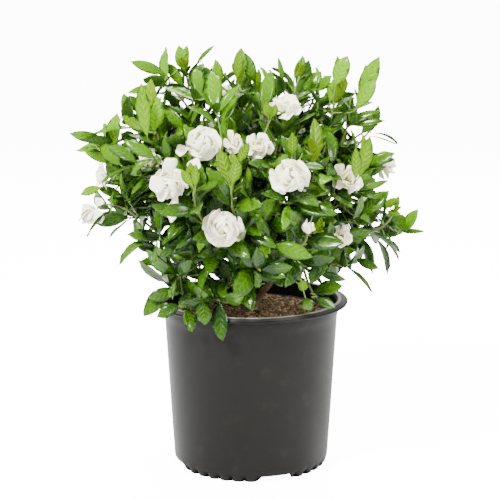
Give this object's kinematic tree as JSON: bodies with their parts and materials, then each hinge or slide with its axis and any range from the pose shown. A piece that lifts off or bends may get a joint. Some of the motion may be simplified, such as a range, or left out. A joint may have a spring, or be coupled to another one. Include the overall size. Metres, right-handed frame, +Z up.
{
  "type": "potted gardenia",
  "caption": "Flowering gardenia shrub with glossy leaves, double white blooms and bright young shoots, in a round nursery pot with a flared rim.",
  "frame": {"origin": "middle of the pot's base, on the ground", "axes": "+Z up along the pot's axis, -Y to the front, which the picture shows, +X to the right"},
  "size_m": [0.4806, 0.479, 0.6003],
  "materials": {
    "pot_plastic": "satin",
    "potting_mix": "matte",
    "bark": "matte",
    "leaf": "satin",
    "young_leaf": "satin",
    "petal": "matte"
  },
  "bodies": {
    "root": {"pot": "pot_plastic", "soil": "potting_mix", "woody_limbs": "bark", "bloom_front_low_1": "petal", "bloom_front_right_1": "petal", "bloom_front_right_2": "petal", "shoot_front_tall_1": "young_leaf", "bloom_front_tall_2": "petal", "bloom_front_left_1": "petal", "shoot_front_left_2": "young_leaf", "bloom_front_high_1": "petal", "bloom_centre_high_1": "petal", "bloom_centre_high_2": "petal", "shoot_left_shoot_1": "young_leaf", "bloom_left_shoot_2": "petal", "bloom_left_far_2": "petal", "bloom_left_low_1": "petal", "shoot_top_left_1": "young_leaf", "shoot_top_centre_1": "young_leaf", "bloom_top_centre_2": "petal", "shoot_top_right_1": "young_leaf", "shoot_right_veined_1": "young_leaf", "shoot_right_high_1": "young_leaf", "shoot_right_front_1": "young_leaf", "shoot_right_front_2": "young_leaf", "bloom_right_mid_1": "petal", "bloom_right_mid_2": "petal", "shoot_right_far_1": "young_leaf", "bloom_right_low_2": "petal", "bloom_back_right_1": "petal", "bloom_back_1": "petal", "shoot_back_2": "young_leaf", "bloom_back_left_1": "petal", "leafy_front_low": "leaf", "leafy_front_right": "leaf", "leafy_front_tall": "leaf", "leafy_front_left": "leaf", "leafy_front_high": "leaf", "leafy_centre_high": "leaf", "leafy_left_shoot": "leaf", "leafy_left_high": "leaf", "leafy_left_far": "leaf", "leafy_left_low": "leaf", "leafy_top_left": "leaf", "leafy_top_centre": "leaf", "leafy_top_right": "leaf", "leafy_right_veined": "leaf", "leafy_right_high": "leaf", "leafy_right_front": "leaf", "leafy_right_mid": "leaf", "leafy_right_far": "leaf", "leafy_right_low": "leaf", "leafy_rim_left": "leaf", "leafy_rim_front": "leaf", "leafy_rim_right": "leaf", "leafy_back_right": "leaf", "leafy_back_high": "leaf", "leafy_back": "leaf", "leafy_back_left": "leaf", "leafy_back_low": "leaf"}
  },
  "joints": []
}
